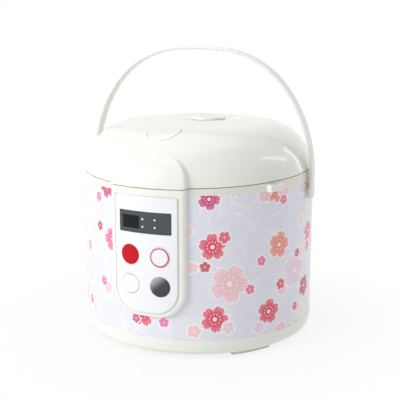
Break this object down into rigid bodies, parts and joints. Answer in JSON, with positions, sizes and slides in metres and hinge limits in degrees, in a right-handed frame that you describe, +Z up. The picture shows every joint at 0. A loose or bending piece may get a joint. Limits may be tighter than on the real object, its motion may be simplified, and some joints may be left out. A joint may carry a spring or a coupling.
{
  "type": "rice cooker",
  "caption": "Round electric rice cooker with a domed hinged lid, a swinging carry handle, a curved front panel with keys and display, and an inner pot on a heating plate.",
  "frame": {"origin": "on the table, under the axis of the round body", "axes": "+Z up, the panel on the front looks along -Y, +X is to the right seen from the front"},
  "size_m": [0.265, 0.2698, 0.3111],
  "materials": {
    "cream_plastic": "glossy warm white moulding",
    "printed_sheet": "coated steel sheet with a printed pattern",
    "panel_film": "smooth bluish white panel film",
    "window_grey": "smoked grey window",
    "readout_black": "black display glass",
    "lens_white": "milky light pipe",
    "key_red": "glossy red key",
    "key_white": "glossy white key",
    "key_grey": "glossy dark grey key",
    "foot_rubber": "pale rubber",
    "gasket_silicone": "translucent silicone",
    "pot_aluminium": "satin aluminium",
    "cast_aluminium": "cast and faced aluminium",
    "bright_steel": "plain steel",
    "galvanised_sheet": "zinc coated sheet",
    "inner_plastic": "pale matt moulding",
    "board_green": "solder resist",
    "black_plastic": "black moulding",
    "lead_insulation": "wire insulation",
    "pin_brass": "plain brass"
  },
  "bodies": {
    "root": {"base_tray": "cream_plastic", "feet": "foot_rubber", "sleeve": "printed_sheet", "collar": "cream_plastic", "inner_shell": "galvanised_sheet", "inner_pot": "pot_aluminium", "heating_plate": "cast_aluminium", "heater_element": "bright_steel", "heater_posts": "bright_steel", "thermostat_guide": "galvanised_sheet", "thermostat_spring": "bright_steel", "support_posts": "bright_steel", "base_screws": "bright_steel", "shell_screws": "bright_steel", "power_board": "board_green", "board_parts": "black_plastic", "board_screws": "bright_steel", "power_inlet": "black_plastic", "inlet_pins": "pin_brass", "inlet_leads": "lead_insulation", "heater_leads": "lead_insulation", "control_ribbon": "lead_insulation", "thermal_fuse": "bright_steel", "panel_bezel": "cream_plastic", "panel_plate": "panel_film", "display_window": "window_grey", "display_module": "readout_black", "indicator_lenses": "lens_white", "control_board": "board_green", "key_switches": "black_plastic", "handle_pivots": "bright_steel", "handle_washers": "inner_plastic", "spatula_holder": "cream_plastic", "hinge_pin": "bright_steel", "hinge_spring": "bright_steel", "latch_catch": "inner_plastic"},
    "lid": {"lid_cover": "cream_plastic", "lid_liner": "inner_plastic", "inner_lid_plate": "pot_aluminium", "lid_gasket": "gasket_silicone", "vent_pipe": "gasket_silicone", "lid_screws": "bright_steel", "latch_pin": "bright_steel", "latch_spring": "bright_steel", "button_spring": "bright_steel"},
    "release_button": {"release_button": "cream_plastic"},
    "latch": {"latch_lever": "inner_plastic"},
    "vent_cap": {"vent_cap": "cream_plastic"},
    "handle": {"carry_handle": "cream_plastic"},
    "thermostat": {"thermostat_cap": "cast_aluminium"},
    "key_upper_left": {"key_upper_left": "key_red"},
    "key_upper_right": {"key_upper_right": "key_white"},
    "key_lower_left": {"key_lower_left": "key_white"},
    "key_lower_right": {"key_lower_right": "key_grey"}
  },
  "joints": [
    {"name": "lid_hinge", "type": "hinge", "parent": "root", "child": "lid", "pos_m": [0, 0.1295, 0.19097], "axis": [-1, 0, 0], "range_deg": [0, 47.5]},
    {"name": "handle_swing", "type": "hinge", "parent": "root", "child": "handle", "pos_m": [0, 0, 0.161], "axis": [-1, 0, 0], "range_deg": [0, 114]},
    {"name": "release_button_press", "type": "slide", "parent": "lid", "child": "release_button", "axis": [0, 0, -1], "range_m": [0, 0.004], "stiffness_N_per_m": 500, "springref_m": -0.004, "deforming": ["button_spring"]},
    {"name": "latch_turn", "type": "hinge", "parent": "lid", "child": "latch", "pos_m": [0, -0.112, 0.19181], "axis": [-1, 0, 0], "range_deg": [0, 9]},
    {"name": "vent_cap_lift", "type": "slide", "parent": "lid", "child": "vent_cap", "axis": [0, 0, 1], "range_m": [0, 0.024]},
    {"name": "thermostat_plunge", "type": "slide", "parent": "root", "child": "thermostat", "axis": [0, 0, -1], "range_m": [0, 0.0025], "stiffness_N_per_m": 400, "springref_m": -0.005, "deforming": ["thermostat_spring"]},
    {"name": "key_upper_left_press", "type": "slide", "parent": "root", "child": "key_upper_left", "axis": [0, 1, 0], "range_m": [0, 0.0008], "stiffness_N_per_m": 800, "springref_m": -0.0012},
    {"name": "key_upper_right_press", "type": "slide", "parent": "root", "child": "key_upper_right", "axis": [0, 1, 0], "range_m": [0, 0.0008], "stiffness_N_per_m": 800, "springref_m": -0.0012},
    {"name": "key_lower_left_press", "type": "slide", "parent": "root", "child": "key_lower_left", "axis": [0, 1, 0], "range_m": [0, 0.0008], "stiffness_N_per_m": 800, "springref_m": -0.0012},
    {"name": "key_lower_right_press", "type": "slide", "parent": "root", "child": "key_lower_right", "axis": [0, 1, 0], "range_m": [0, 0.0008], "stiffness_N_per_m": 800, "springref_m": -0.0012}
  ],
  "couplings": [
    {"joint": "handle_swing", "follows": "lid_hinge", "ratio": 2.4},
    {"joint": "latch_turn", "follows": "release_button_press", "rad_per_m": 39.2}
  ]
}
